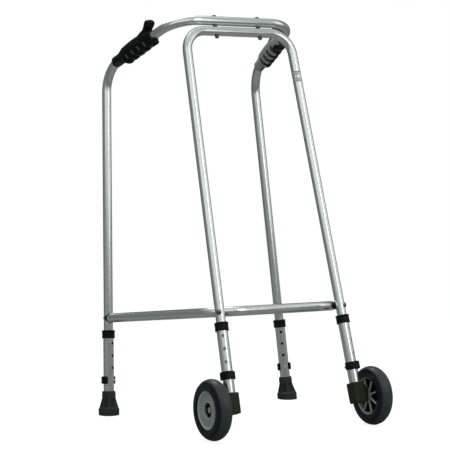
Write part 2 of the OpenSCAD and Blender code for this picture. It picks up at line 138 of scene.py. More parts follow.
def curve(points, x):
    """The value at x of an even curve through (x, value) points."""
    if x <= points[0][0]:
        return points[0][1]
    for i in range(len(points) - 1):
        x0, y0 = points[i]
        x1, y1 = points[i + 1]
        if x <= x1:
            before = points[i - 1] if i else points[i]
            after = points[i + 2] if i + 2 < len(points) else points[i + 1]
            m0 = (y1 - before[1]) / (x1 - before[0])
            m1 = (after[1] - y0) / (after[0] - x0)
            h = x1 - x0
            t = (x - x0) / h
            return (
                (2 * t**3 - 3 * t**2 + 1) * y0
                + (t**3 - 2 * t**2 + t) * h * m0
                + (3 * t**2 - 2 * t**3) * y1
                + (t**3 - t**2) * h * m1
            )
    return points[-1][1]


def circle(count):
    """The cosine and sine of count even steps round a circle."""
    angles = (2 * math.pi * k / count for k in range(count))
    return [(math.cos(a), math.sin(a)) for a in angles]


def squared(value, power):
    """A sine or cosine pushed outwards, which squares off a round section."""
    return math.copysign(abs(value) ** power, value)


class Shape:
    """Vertices in mm with faces, a tone for each vertex, and tube coordinates."""

    def __init__(self):
        self.verts, self.faces, self.tone = [], [], []
        self.run = []

    def loops(self, rings, ring_closed=False, tones=None):
        """Joins rings of points of one length into a skin with closed ends."""
        n = len(rings[0])
        base = len(self.verts)
        for k, ring in enumerate(rings):
            self.verts += [Vector(p) for p in ring]
            self.tone += [tones[k] if tones else 0.0] * n
        count = len(rings)
        for k in range(count if ring_closed else count - 1):
            a, b = base + k * n, base + (k + 1) % count * n
            for i in range(n):
                j = (i + 1) % n
                self.faces.append((a + i, a + j, b + j, b + i))
        if not ring_closed:
            self.faces.append(tuple(base + i for i in reversed(range(n))))
            last = base + (count - 1) * n
            self.faces.append(tuple(last + i for i in range(n)))
        return self

    def placed(self, matrix):
        self.verts = [matrix @ v for v in self.verts]
        return self

    def add(self, other):
        base = len(self.verts)
        self.verts += other.verts
        self.tone += other.tone
        self.run += other.run
        self.faces += [tuple(base + i for i in f) for f in other.faces]
        return self


def build(name, shape, material, body, mirror=False, replaces=()):
    """Makes the mesh object, mirrored for the right side, riding on its body."""
    mesh = bpy.data.meshes.new(name)
    sx = -1 if mirror else 1
    verts = [(sx * v.x * MM, v.y * MM, v.z * MM) for v in shape.verts]
    faces = [tuple(reversed(f)) for f in shape.faces] if mirror else shape.faces
    mesh.from_pydata(verts, [], faces)
    mesh.validate()
    tone = mesh.attributes.new("tone", "FLOAT", "POINT")
    tone.data.foreach_set("value", shape.tone)
    if shape.run:
        run = mesh.attributes.new("run", "FLOAT_VECTOR", "POINT")
        run.data.foreach_set("vector", [c for v in shape.run for c in v])
    mesh.update()
    mesh.shade_smooth()
    obj = bpy.data.objects.new(name, mesh)
    bpy.context.scene.collection.objects.link(obj)
    mesh.materials.append(material)
    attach(obj, body)
    if replaces:
        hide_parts(*replaces)
    return obj


def bevelled(obj, width, angle=35):
    """Rounds the edges sharper than angle, by width in mm."""
    bevel = obj.modifiers.new("Edges", "BEVEL")
    bevel.width = width * MM
    bevel.segments = 4
    bevel.limit_method = "ANGLE"
    bevel.angle_limit = math.radians(angle)
    bevel.harden_normals = True


def sharp_by_angle(obj, angle):
    obj.data.set_sharp_from_angle(angle=math.radians(angle))


NEARLY_STRAIGHT = 0.02
MOST_OF_HALF = 0.49


def rounded(points, radius, steps=5):
    """A closed 2D outline with rounded corners; radius may be one for each."""
    out = []
    n = len(points)
    for i, p in enumerate(points):
        p = Vector(p)
        r = radius[i] if isinstance(radius, (list, tuple)) else radius
        a = Vector(points[i - 1]) - p
        b = Vector(points[(i + 1) % n]) - p
        turn = math.pi - a.angle(b)
        if r <= 0 or turn < NEARLY_STRAIGHT:
            out.append(p)
            continue
        room = MOST_OF_HALF * a.length, MOST_OF_HALF * b.length
        cut = min(r * math.tan(turn / 2), *room)
        start, finish = p + a.normalized() * cut, p + b.normalized() * cut
        for k in range(steps + 1):
            t = k / steps
            out.append(start * (1 - t) ** 2 + p * 2 * t * (1 - t) + finish * t**2)
    return out


def lathe(profile, segments, tones=None):
    """Turns a closed (r, z) outline about Z."""
    turns = circle(segments)
    rings = [[(r * cos, r * sin, z) for r, z in profile] for cos, sin in turns]
    shape = Shape().loops(rings, ring_closed=True)
    if tones:
        shape.tone = list(tones) * segments
    return shape


def prism(outline, low, high):
    """A 2D outline raised from low to high."""
    return Shape().loops([[(p[0], p[1], z) for p in outline] for z in (low, high)])


# ----------------------------------------------------------------- materials
def node_of(tree, kind, **values):
    """A new node with the values of its sockets; _ stands for a space."""
    node = tree.nodes.new(kind)
    for key, value in values.items():
        node.inputs[key.replace("_", " ")].default_value = value
    return node


def smooth_range(tree, source, low, high, a, b):
    """A node's a to b as source goes from low to high."""
    node = node_of(
        tree, "ShaderNodeMapRange", From_Min=low, From_Max=high, To_Min=a, To_Max=b
    )
    node.interpolation_type = "SMOOTHSTEP"
    tree.links.new(source, node.inputs["Value"])
    return node.outputs["Result"]


class Finish:
    """A Principled material and the nodes that vary it."""

    def __init__(self, name, color, roughness, metallic=0.0, **uniform):
        self.mat = bpy.data.materials.new(name)
        self.mat.use_nodes = True
        self.tree = self.mat.node_tree
        self.bsdf = self.tree.nodes["Principled BSDF"]
        self.bsdf.inputs["Base Color"].default_value = (*color, 1)
        self.bsdf.inputs["Roughness"].default_value = roughness
        self.bsdf.inputs["Metallic"].default_value = metallic
        for key, value in uniform.items():
            self.bsdf.inputs[key.replace("_", " ")].default_value = value
        self.color = (*color, 1)
        self.coords = self.tree.nodes.new("ShaderNodeTexCoord").outputs["Object"]

    def link(self, a, b):
        self.tree.links.new(a, b)

    def attribute(self, name, vector=False):
        node = self.tree.nodes.new("ShaderNodeAttribute")
        node.attribute_name = name
        return node.outputs["Vector" if vector else "Fac"]

    def stretched(self, scale, rotation, source):
        node = node_of(self.tree, "ShaderNodeMapping", Rotation=rotation, Scale=scale)
        self.link(source, node.inputs["Vector"])
        return node.outputs["Vector"]

    def noise(self, scale, detail, source=None, rough=0.55):
        node = node_of(
            self.tree, "ShaderNodeTexNoise", Scale=scale, Detail=detail, Roughness=rough
        )
        self.link(source or self.coords, node.inputs["Vector"])
        return node.outputs["Fac"]

    def ramp(self, source, low, high, a=0.0, b=1.0):
        return smooth_range(self.tree, source, low, high, a, b)

    def tint(self, source, color):
        """Mixes the colour so far with another one where source is 1."""
        node = self.tree.nodes.new("ShaderNodeMix")
        node.data_type = "RGBA"
        links = self.bsdf.inputs["Base Color"].links
        if links:
            self.link(links[0].from_socket, node.inputs["A"])
        else:
            node.inputs["A"].default_value = self.color
        node.inputs["B"].default_value = (*color, 1)
        self.link(source, node.inputs["Factor"])
        self.link(node.outputs["Result"], self.bsdf.inputs["Base Color"])

    def tone_tint(self, low, high, a, b, color):
        """Tints by the mesh's tone, from a to b as the tone goes from low to high."""
        self.tint(self.ramp(self.attribute("tone"), low, high, a, b), color)

    def rough(self, source, low, high):
        self.link(self.ramp(source, 0.3, 0.7, low, high), self.bsdf.inputs["Roughness"])

    def bump(self, source, distance):
        """Adds source to the height so far, with distance in mm."""
        node = node_of(self.tree, "ShaderNodeBump", Distance=distance * MM)
        self.link(source, node.inputs["Height"])
        links = self.bsdf.inputs["Normal"].links
        if links:
            self.link(links[0].from_socket, node.inputs["Normal"])
        self.link(node.outputs["Normal"], self.bsdf.inputs["Normal"])


def aluminium(name, along_run, rotation=(0, 0, 0)):
    """Bright anodised tube with faint draw lines along it and handling marks."""
    f = Finish(name, (0.76, 0.80, 0.79), 0.2, metallic=1.0)
    source = f.attribute("run", vector=True) if along_run else f.coords
    lines = f.noise(1.0, 4, f.stretched((900, 900, 6), rotation, source), rough=0.7)
    cloud = f.noise(1.0, 3, f.stretched((40, 40, 14), rotation, source))
    f.rough(cloud, 0.21, 0.27)
    f.tint(f.ramp(lines, 0.35, 0.75, 0.0, 0.35), (0.66, 0.71, 0.70))
    f.tint(f.ramp(cloud, 0.52, 0.72, 0.0, 0.25), (0.60, 0.65, 0.63))
    f.bump(lines, 0.006)
    f.bump(f.noise(1.0, 2, f.stretched((22, 22, 8), rotation, source)), 0.015)
    return f.mat


def tilt_of(direction):
    """The Mapping rotation that stands a leg's direction upright."""
    return tuple(direction.rotation_difference(UP).to_euler())


ALU = aluminium("anodised_tube", True)
ALU_LEGS = {}
for leg_name, leg_up in (("rear", REAR_UP), ("front", FRONT_UP)):
    for side, mirror in SIDES:
        leg_dir = Vector((-leg_up.x, leg_up.y, leg_up.z)) if mirror else leg_up
        ALU_LEGS[leg_name, side] = aluminium(
            f"anodised_extension_{leg_name}_{side}", False, tilt_of(leg_dir)
        )


def plastic(name, color, roughness, grain, grain_depth, worn=(0.1, 0.1, 0.1)):
    """Moulded plastic with a grain, broad paler clouds and worn, raised edges."""
    f = Finish(name, color, roughness, Specular_IOR_Level=0.15)
    broad = f.noise(28, 3)
    f.tint(f.ramp(broad, 0.4, 0.75, 0.0, 0.5), tuple(c * 1.6 + 0.002 for c in color))
    geometry = f.tree.nodes.new("ShaderNodeNewGeometry")
    f.tint(f.ramp(geometry.outputs["Pointiness"], 0.56, 0.72), worn)
    f.rough(f.noise(160, 4), roughness - 0.07, roughness + 0.09)
    f.bump(f.noise(grain, 2), grain_depth)
    f.bump(broad, 0.25)
    return f


GRIP = plastic(
    "grip_plastic", (0.003, 0.0035, 0.004), 0.3, 1400, 0.06, (0.012, 0.013, 0.013)
)
# Grey painted highlights from the tone's lower range: glints in the grooves, along the
# step and at the rear end
GRIP.tone_tint(0.1, 0.9, 0.0, 0.9, (0.15, 0.18, 0.175))
# Pale painted sheen from the tone's upper range, on the inner, upper side
GRIP.tone_tint(1.0, 2.0, 0.0, 0.9, (0.42, 0.48, 0.46))
GRIP_MAT = GRIP.mat
NYLON = plastic(
    "black_nylon", (0.004, 0.005, 0.005), 0.38, 1100, 0.05, (0.02, 0.02, 0.02)
).mat
BLOCK_MAT = plastic(
    "block_plastic", (0.022, 0.027, 0.012), 0.46, 700, 0.09, (0.06, 0.065, 0.04)
).mat
BUSH_MAT = plastic(
    "bush_nylon", (0.62, 0.58, 0.48), 0.42, 500, 0.04, (0.7, 0.66, 0.56)
).mat


def rubber(name, color, roughness, dust):
    """Rubber with a fine grain and dust caught in it, broad and fine."""
    f = Finish(name, color, roughness, Specular_IOR_Level=0.25)
    broad = f.noise(14, 4)
    fine = f.noise(420, 3)
    f.tint(f.ramp(broad, 0.42, 0.8, 0.0, 0.55), dust)
    f.tint(f.ramp(fine, 0.5, 0.9, 0.0, 0.35), tuple(c * 1.6 for c in dust))
    f.rough(f.noise(70, 4), roughness - 0.08, roughness + 0.1)
    f.bump(fine, 0.06)
    f.bump(broad, 0.3)
    return f


TYRE = rubber("tyre_rubber", (0.006, 0.007, 0.018), 0.36, (0.011, 0.013, 0.026))
# Painted sheen: the tread crown paler than the side walls
TYRE.tone_tint(0.2, 0.9, 0.0, 0.9, (0.050, 0.064, 0.065))
TYRE_MAT = TYRE.mat
FERRULE = rubber("ferrule_rubber", (0.026, 0.034, 0.033), 0.5, (0.040, 0.050, 0.048))
# Painted shade darkens the sunk panels
FERRULE.tone_tint(0.0, 1.0, 0.0, 0.85, (0.007, 0.010, 0.010))
FERRULE_MAT = FERRULE.mat

HUB = plastic("hub_plastic", (0.31, 0.37, 0.35), 0.38, 800, 0.04, (0.55, 0.62, 0.60))
# Painted shade darkens the pockets between the ribs and the recess deep down
HUB.tone_tint(0.0, 1.0, 0.0, 1.0, (0.004, 0.006, 0.004))
# Painted highlight lightens the rim lip, the recess edge and the ribs' edges
HUB.tone_tint(-1.0, -0.2, 0.95, 0.0, (0.52, 0.60, 0.57))
HUB_MAT = HUB.mat


def metal(name, color, low, high, spots):
    """Bare or plated steel, roughness low to high, clouded with another colour."""
    f = Finish(name, color, low, metallic=1.0)
    cloud = f.noise(90, 4)
    f.rough(cloud, low, high)
    f.tint(f.ramp(cloud, 0.5, 0.8, 0.0, 0.6), spots)
    f.bump(f.noise(600, 3), 0.02)
    return f.mat


DARK_STEEL = metal(
    "blackened_steel", (0.15, 0.17, 0.16), 0.25, 0.42, (0.07, 0.08, 0.07)
)
ZINC = metal("zinc_steel", (0.66, 0.53, 0.43), 0.26, 0.44, (0.45, 0.29, 0.20))
PEG_STEEL = metal("peg_steel", (0.78, 0.80, 0.80), 0.16, 0.3, (0.6, 0.62, 0.62))

# ---------------------------------------------------------------- frame tubes
ARC_STEP, STRAIGHT_STEP = 3.0, 60


def rounded_path(corners, bend_r):
    """Points along the straights and bends between the corners."""
    points = [corners[0]]
    for i in range(1, len(corners) - 1):
        a = (corners[i - 1] - corners[i]).normalized()
        b = (corners[i + 1] - corners[i]).normalized()
        turn = math.pi - a.angle(b)
        inset = bend_r * math.tan(turn / 2)
        centre = corners[i] + (a + b).normalized() * (bend_r / math.cos(turn / 2))
        start = corners[i] + a * inset
        arm = start - centre
        axis = (-a).cross(b).normalized()
        count = max(4, round(turn * bend_r / ARC_STEP))
        for k in range(count + 1):
            points.append(centre + Matrix.Rotation(turn * k / count, 3, axis) @ arm)
    points.append(corners[-1])
    out = [points[0]]
    for p in points[1:]:
        gap = (p - out[-1]).length
        parts = max(1, round(gap / STRAIGHT_STEP))
        start = out[-1]
        out += [start.lerp(p, k / parts) for k in range(1, parts + 1)]
    return out


def tube(corners, bend_r, r):
    """A drawn tube along the corners, with its own coordinates for draw lines."""
    points = rounded_path(corners, bend_r)
    rings, runs = [], []
    side = square_to(Vector((0.3, 0.5, 0.8)), (points[1] - points[0]).normalized())
    travelled = 0.0
    for i, p in enumerate(points):
        before = points[max(i - 1, 0)]
        after = points[min(i + 1, len(points) - 1)]
        tangent = (after - before).normalized()
        side = square_to(side, tangent)
        other = tangent.cross(side)
        travelled += (p - before).length
        ring = []
        for cos, sin in circle(TUBE_SEGMENTS):
            ring.append(p + side * (r * cos) + other * (r * sin))
            runs.append((r * cos * MM, r * sin * MM, travelled * MM))
        rings.append(ring)
    shape = Shape().loops(rings)
    shape.run = runs
    return shape


def both(path):
    """The path with its mirror image before it, from the right side to the left."""
    return [Vector((-p.x, p.y, p.z)) for p in reversed(path)] + path


FRAME_TUBES = (
    (
        "rear_frame_tube",
        [CROSSBAR_CORNER, BACK_CORNER, REAR_CLIP - REAR_UP * TUBE_TAIL],
        REAR_BEND_R,
    ),
    (
        "front_frame_tube",
        [FRONT_CORNER, FRONT_CLIP - FRONT_UP * TUBE_TAIL],
        FRONT_BEND_R,
    ),
    ("lower_brace_tube", [brace_corner(), BRACE_REAR], BRACE_BEND_R),
)
for name, path, bend_r in FRAME_TUBES:
    skin = build(
        name + "_drawn", tube(both(path), bend_r, TUBE_R), ALU, "frame",
        replaces=(name,),
    )
    sharp_by_angle(skin, 40)

# ----------------------------------------------------------------- handgrips
GRIP_WIDTH = [
    (0, 12.3), (1.5, 13.4), (26, 13.7), (33, 14.6), (44, 16.4), (70, 17.6),
    (100, 18.0), (130, 17.0), (148, 15.6), (156, 14.4), (159, 12.6),
]
GRIP_TOP = [
    (0, 12.3), (1.5, 13.4), (24, 13.8), (33, 16.6), (44, 19.2), (68, 20.9),
    (92, 21.5), (118, 20.4), (136, 18.6), (150, 16.6), (156, 14.8), (159, 12.6),
]
GRIP_BOTTOM = [
    (0, 12.3), (1.5, 13.4), (30, 13.8), (37, 15.2), (42, 20.6), (49, 23.8),
    (60, 23.6), (98, 23.0), (130, 22.6), (146, 21.6), (156, 20.4), (159, 18.4),
]
# How strong a painted sheen is on each grip's inner, upper side
GRIP_PAINTED_SHEEN = {"left": 0.9, "right": 0.0}
FINGER_GROOVES = (62, 86, 110, 134)
GROOVE_DEPTH, GROOVE_HALF_WIDTH, GROOVE_LEAN = 4.6, 2.7, 0.16
CROWN_HEIGHT, CROWN_HALF_WIDTH, CROWN_BEFORE_GROOVE = 0.9, 7.0, 12
PAD_STEP = 1.1


def bell(x, half_width, power=2):
    """1 at x = 0 and next to nothing past twice half_width on either side."""
    return math.exp(-((x / half_width) ** power))


def near_grooves(s, offset, half_width, power=2):
    return sum(bell(s - g + offset, half_width, power) for g in FINGER_GROOVES)


def grip_body(painted_sheen):
    """The grip round the tube; its argument is how strong a painted sheen pales its
    inner, upper side.
    """
    stations = [0, 0.4, 1, 2] + [3 + 1.25 * i for i in range(124)]
    stations += [GRIP_END - 0.6, GRIP_END]
    rings, tones = [], []
    for s in stations:
        w, top, bottom = (curve(c, s) for c in (GRIP_WIDTH, GRIP_TOP, GRIP_BOTTOM))
        ring = []
        for cos, sin in circle(96):
            x = w * squared(cos, 0.9)
            y = (top if sin > 0 else bottom) * squared(sin, 0.9)
            # Finger grooves cut the underside and fade out up the sides
            reach = 1 - smooth(y, -15, -3)
            lean = s + GROOVE_LEAN * (y + 20)
            groove = near_grooves(lean, 0, GROOVE_HALF_WIDTH)
            crown = near_grooves(lean, CROWN_BEFORE_GROOVE, CROWN_HALF_WIDTH)
            depth = (GROOVE_DEPTH * groove - CROWN_HEIGHT * crown) * reach
            # The palm pad overlaps the finger side in a shallow step
            pad = PAD_STEP * smooth(y, 3.4, 5.2)
            pad = pad * smooth(s, 38, 48) * (1 - smooth(s, 138, 146))
            scale = 1 + (pad - depth) / max(math.hypot(x, y), 1)
            ring.append((x * scale, y * scale, s))
            # Painted highlights: grey glints in the grooves, along the step and at the
            # rear end
            low_side = smooth(y, -22, -18) * (1 - smooth(y, -8, -4))
            painted_highlight = 0.9 * groove * low_side
            step = bell(y - 3.2, 0.9)
            painted_highlight += 0.4 * step * smooth(s, 40, 60) * (1 - smooth(s, 130, 140))
            rear_end = smooth(s, 4, 9) * (1 - smooth(s, 24, 32))
            painted_highlight += 0.35 * rear_end * (1 - smooth(y, -9, -2))
            in_groove = min(1, near_grooves(lean, 0, 5.5, 4))
            # A painted sheen pales the inner side, but not down in the grooves
            painted_sheen_mask = painted_sheen * smooth(2 - x, 0, 7)
            painted_sheen_mask = painted_sheen_mask * (1 - in_groove * (1 - smooth(y, -7, 0)))
            tones.append(min(painted_highlight, 1) * (1 - painted_sheen_mask) + 2 * painted_sheen_mask)
        rings.append(ring)
    shape = Shape().loops(rings)
    shape.tone = tones
    return shape


def grip_thumb_stop():
    """A tongue that leaves the top of the grip and leans forward to a round end."""
    # Share of the way along, then s, height, half width and half thickness
    spine = [
        (0.0, 120, 8, 16.5, 15), (0.16, 130, 13.5, 15.6, 12.5),
        (0.34, 138, 19, 13.4, 8.8), (0.55, 145, 25.5, 12.6, 7.6),
        (0.75, 151.5, 31, 13.8, 8.2), (0.9, 157, 35.6, 13.2, 7.8),
        (0.97, 159.6, 38.2, 9.8, 5.6), (1.0, 160.8, 39.3, 3.6, 2.0),
    ]
    tracks = [[(row[0], row[i]) for row in spine] for i in range(1, 5)]
    rings = []
    steps = 44
    for k in range(steps + 1):
        t = k / steps
        s, y, half_w, half_t = (curve(track, t) for track in tracks)
        s2, y2 = (curve(track, min(t + 0.02, 1)) for track in tracks[:2])
        s1, y1 = (curve(track, max(t - 0.02, 0)) for track in tracks[:2])
        ahead = Vector((0, y2 - y1, s2 - s1)).normalized()
        out = Vector((0, ahead.z, -ahead.y))
        ring = []
        for cos, sin in circle(48):
            across = squared(cos, 0.8) * half_w
            ring.append(Vector((across, y, s)) + out * (squared(sin, 0.8) * half_t))
        rings.append(ring)
    return Shape().loops(rings)


def grip_lip():
    """The finger side runs on under the tube to a thin front lip."""
    rings = []
    steps = 20
    for k in range(steps + 1):
        s = 138 + 21.5 * k / steps
        end = smooth(s, 155, 159.5)
        half_w = curve([(138, 14.5), (150, 14.4), (156.5, 13.8), (159.5, 12)], s)
        low = curve([(138, -22), (150, -22.5), (156.5, -22.5), (159.5, -21)], s)
        high = curve([(138, -4), (150, -6), (156.5, -8.5), (159.5, -11.5)], s) - end
        mid, half_h = (low + high) / 2, (high - low) / 2
        ring = []
        for cos, sin in circle(48):
            x = squared(cos, 0.75) * half_w
            y = squared(sin, 0.75) * half_h
            # The lip is hollowed to cup the tube
            ring.append((x, mid + y + 0.012 * x * x, s))
        rings.append(ring)
    return Shape().loops(rings)


for side, mirror in SIDES:
    grip = grip_body(GRIP_PAINTED_SHEEN[side]).add(grip_thumb_stop()).add(grip_lip())
    grip.placed(GRIP_AT)
    build(
        f"handgrip_{side}_moulding", grip, GRIP_MAT, "frame", mirror,
        replaces=(f"handgrip_{side}",),
    )

# --------------------------------------------------------- collars and clips
def collar():
    """A moulded bushing with a bead at each rim and a step down to the tube."""
    r, low, high = 16.0, COLLAR_BOTTOM, COLLAR_BOTTOM + COLLAR_H
    lip = high - 4
    outline = [
        (EXTENSION_R - 0.1, low), (r - 0.1, low), (r - 0.1, low + 3.2),
        (r - 0.6, low + 3.8), (r - 0.6, high - 4.6), (r, high - 4.0), (r, high),
        (TUBE_R + 0.1, high), (TUBE_R + 0.1, lip), (EXTENSION_R - 0.1, lip),
    ]
    radii = [0.3, 2.8, 0.3, 0.3, 0.4, 0.4, 3.2, 0.8, 0.2, 0.2]
    return lathe(rounded(outline, radii), 72)


def clip_outline():
    """The E-clip's band seen along the leg: a C with a bulged back."""
    outer, bore = EXTENSION_R + 4.4, EXTENSION_R + 0.25
    bulge_x, bulge_r, arm = EXTENSION_R - 2, 9.5, 8
    meet = (outer**2 - bulge_r**2 + bulge_x**2) / (2 * bulge_x)
    a_outer = math.acos(meet / outer)
    a_bulge = math.acos((meet - bulge_x) / bulge_r)
    quarter, steps = math.pi / 2, 14

    def arc(x, r, start, sweep, count):
        angles = (start + sweep * k / count for k in range(count + 1))
        return [Vector((x + r * math.cos(a), r * math.sin(a))) for a in angles]

    points = [Vector((-arm, -outer)), Vector((-arm / 2, -outer))]
    points += arc(0, outer, -quarter, quarter - a_outer, steps)
    points += arc(bulge_x, bulge_r, -a_bulge, 2 * a_bulge, 2 * steps)[1:-1]
    points += arc(0, outer, a_outer, quarter - a_outer, steps)
    points += [Vector((-arm / 2, outer)), Vector((-arm, outer)), Vector((-arm, bore))]
    points += arc(0, bore, quarter, -math.pi, 2 * steps)
    return points + [Vector((-arm, -bore))]


def clip_prong():
    """The peg through the tube, with a rounded tip."""
    tip, root, r, core = -EXTENSION_R - 5.5, EXTENSION_R + 2, 3.2, 0.02
    length = root - tip
    profile = [(core, 0), (2.0, 0), (3.0, 0.5), (r, 1.6), (r, length), (core, length)]
    peg = lathe(rounded(profile, [0, 0.5, 0.5, 0.5, 0, 0]), 40)
    across = Matrix.Rotation(math.pi / 2, 4, "Y")
    return peg.placed(Matrix.Translation((tip, 0, 0)) @ across)


LEGS = (("rear", REAR_LEG), ("front", FRONT_LEG))
for leg, place in LEGS:
    for side, mirror in SIDES:
        obj = build(
            f"leg_collar_{leg}_{side}_bushing", collar().placed(place), NYLON,
            f"leg_{leg}_{side}", mirror,
            replaces=(f"leg_collar_{leg}_{side}",),
        )
        sharp_by_angle(obj, 50)
        band = prism(clip_outline(), -CLIP_H / 2, CLIP_H / 2)
        obj = build(
            f"height_clip_{leg}_{side}_band", band.placed(place), NYLON,
            f"clip_{leg}_{side}", mirror,
            replaces=(f"height_clip_{leg}_{side}",),
        )
        bevelled(obj, 1.9)
        peg = build(
            f"height_clip_{leg}_{side}_peg", clip_prong().placed(place), PEG_STEEL,
            f"clip_{leg}_{side}", mirror,
        )
        sharp_by_angle(peg, 50)

# ------------------------------------------------------------------ ferrules
FERRULE_PANELS = 8
PANEL_DEPTH = 2.2
FERRULE_H = 56


def ferrule():
    """A bell of ribbed rubber, flat on the floor and square to the leg above."""
    outer = [
        (0, 24.4), (0.7, 25.0), (4.4, 25.0), (5.0, 24.4), (5.6, 25.0), (13.6, 25.0),
        (15.2, 24.4), (16.6, 23.2), (24, 20.9), (33, 18.2), (39, 16.6), (41.5, 16.1),
        (43, 16.6), (44, 16.7), (53.6, 16.2), (55.2, 15.8), (FERRULE_H, 14.8),
    ]
    levels = []
    for i in range(len(outer) - 1):
        (h0, _), (h1, _) = outer[i], outer[i + 1]
        parts = max(1, round((h1 - h0) / 0.9))
        levels += [h0 + (h1 - h0) * k / parts for k in range(parts)]
    levels.append(FERRULE_H)

    def radius(h):
        for (h0, r0), (h1, r1) in zip(outer, outer[1:]):
            if h <= h1:
                return r0 + (r1 - r0) * (h - h0) / (h1 - h0)
        return outer[-1][1]

    flat_x, flat_y = ACROSS, Vector((0, 1, 0))
    leg_x = square_to(ACROSS, REAR_UP)
    leg_y = REAR_UP.cross(leg_x)
    segments = 192
    turns = circle(segments)
    rings, tones = [], []

    def ring_at(h, radii):
        tilt = smooth(h, 0, 15)
        centre = REAR_FOOT + REAR_UP * (h / REAR_UP.z)
        x_axis = flat_x.lerp(leg_x, tilt)
        y_axis = flat_y.lerp(leg_y, tilt)
        return [
            centre + x_axis * (r * cos) + y_axis * (r * sin)
            for r, (cos, sin) in zip(radii, turns)
        ]

    # The flat underside, the bell with its sunk panels, then the mouth
    for r in (0.1, 8.0, 23.2):
        rings.append(ring_at(0.0, [r] * segments))
        tones += [0.0] * segments
    for h in levels:
        radii = []
        for k in range(segments):
            off_middle = abs((k / segments * FERRULE_PANELS + 0.5) % 1 - 0.5)
            across = 1 - smooth(off_middle, 0.30, 0.36)
            along = smooth(h, 17.2, 18.6) * (1 - smooth(h + 5 * off_middle, 37.5, 40))
            radii.append(radius(h) - PANEL_DEPTH * (across * along))
            # The tone paints shade into the sunk panels
            tones.append(across * along)
        rings.append(ring_at(h, radii))
    for h, r in ((FERRULE_H, 13.0), (FERRULE_H - 1, 12.72), (FERRULE_H - 10, 12.72)):
        rings.append(ring_at(h, [r] * segments))
        tones += [0.0] * segments
    shape = Shape().loops(rings)
    shape.tone = tones
    return shape


for side, mirror in SIDES:
    obj = build(
        f"ferrule_{side}_bell", ferrule(), FERRULE_MAT, f"leg_rear_{side}",
        mirror, replaces=(f"ferrule_{side}", f"ferrule_disc_{side}"),
    )
    sharp_by_angle(obj, 50)

# -------------------------------------------------------------------- wheels
def tyre():
    """A solid tyre with a full round section, rim beads and a mould line."""
    section_r, mid = TYRE_SECTION_R, WHEEL_R - TYRE_SECTION_R
    points, tones = [], []
    reach = math.acos((RIM_R - mid) / section_r)
    steps = 84
    for k in range(steps + 1):
        a = -reach + 2 * reach * k / steps
        cos, sin = math.cos(a), math.sin(a)
        r = mid + section_r * squared(cos, 0.94)
        z = section_r * squared(sin, 0.90)
        # Mould line round the crown, and a groove and a ridge on each side wall
        line = 0.35 * bell(z, 0.55)
        groove = 0.5 * bell(abs(a) - 1.68, 0.035)
        ridge = 0.3 * bell(abs(a) - 0.86, 0.06)
        grow = 1 + (ridge - groove) / section_r
        side_z = max(-section_r, min(section_r, z * grow))
        points.append((mid + (r - mid) * grow - 0.35 + line, side_z))
        # The tone paints a sheen on the tread crown
        tones.append(smooth(cos, 0.45, 0.9))
    points += [(RIM_R - 0.2, 11), (RIM_R - 0.2, -11)]
    tones += [0.0, 0.0]
    return lathe(points, 144, tones)


def hub_turned():
    """Rim, outer disc, centre recess and boss in one turned section."""
    rim_in, half = RIM_R - 4, 14.5
    outline = [
        (6.02, -17), (11, -17), (11, -1.5), (17, -1.5), (18.6, 0), (18.6, 7.6),
        (20.5, 8.4), (rim_in - 2.5, 8.4), (rim_in, 7), (rim_in, -half),
        (RIM_R, -half), (RIM_R, half - 0.4),
        (rim_in + 0.8, half), (rim_in - 0.2, half - 0.8), (rim_in - 1.2, 12.2),
        (20.4, 11.4), (19.2, 12.4), (17.6, 12.4), (17, 11.2), (17, 1), (6.02, 1),
    ]
    radii = [
        0.3, 1.0, 0.8, 0.3, 1.0, 1.0,
        1.2, 1.5, 1.5, 1.3,
        1.3, 0.4,
        0.6, 0.6, 2.0,
        1.0, 0.6, 0.6, 0.8, 0.8, 0.3,
    ]
    profile = rounded(outline, radii, 4)
    tones = []
    for r, z in profile:
        # Tones: painted shade deeper in the pockets and the recess, painted highlight
        # (-1) on the rim lip and recess edge
        between_ribs = 10.5 < r < rim_in + 0.3 and z < 8.6
        rim_lip = r > rim_in - 1 and (z > 12.6 or z < -12.5)
        recess_edge = r < 20 and z > 11.6
        if rim_lip or recess_edge:
            tones.append(-1.0)
        elif r < 17.3 and z > -1.2:
            tones.append(smooth(12 - z, 1, 6))
        else:
            tones.append(smooth(z, -12.5, -3) if between_ribs else 0.0)
    return lathe(profile, 128, tones)


RIBS = 8


def hub_ribs():
    """Eight tapered ribs between the boss and the rim, on the inner side."""
    # Height, half thickness and tone; the tone paints shade deep between the ribs and
    # highlights at their edges
    levels = (
        (9.0, 1.9, 1.0), (-4, 1.7, 1.0), (-9, 1.6, 0.75),
        (-12.2, 1.5, -0.3), (-13.1, 1.2, -0.8), (-13.5, 0.6, -0.8),
    )
    r0, r1 = 10.4, RIM_R - 3.6
    rings = []
    for z, t, _ in levels:
        rim_z = z if z > 0 else z - 0.3
        rings.append([(r0, t, z), (r1, t, rim_z), (r1, -t, rim_z), (r0, -t, z)])
    ribs = Shape()
    for i in range(RIBS):
        rib = Shape().loops(rings, tones=[tone for _, _, tone in levels])
        turn = (i + 0.5) * 2 * math.pi / RIBS
        ribs.add(rib.placed(Matrix.Rotation(turn, 4, "Z")))
    return ribs


BLOCK_LOW_Z, BLOCK_HIGH_Z, BLOCK_HALF = 56, 101, 16.2


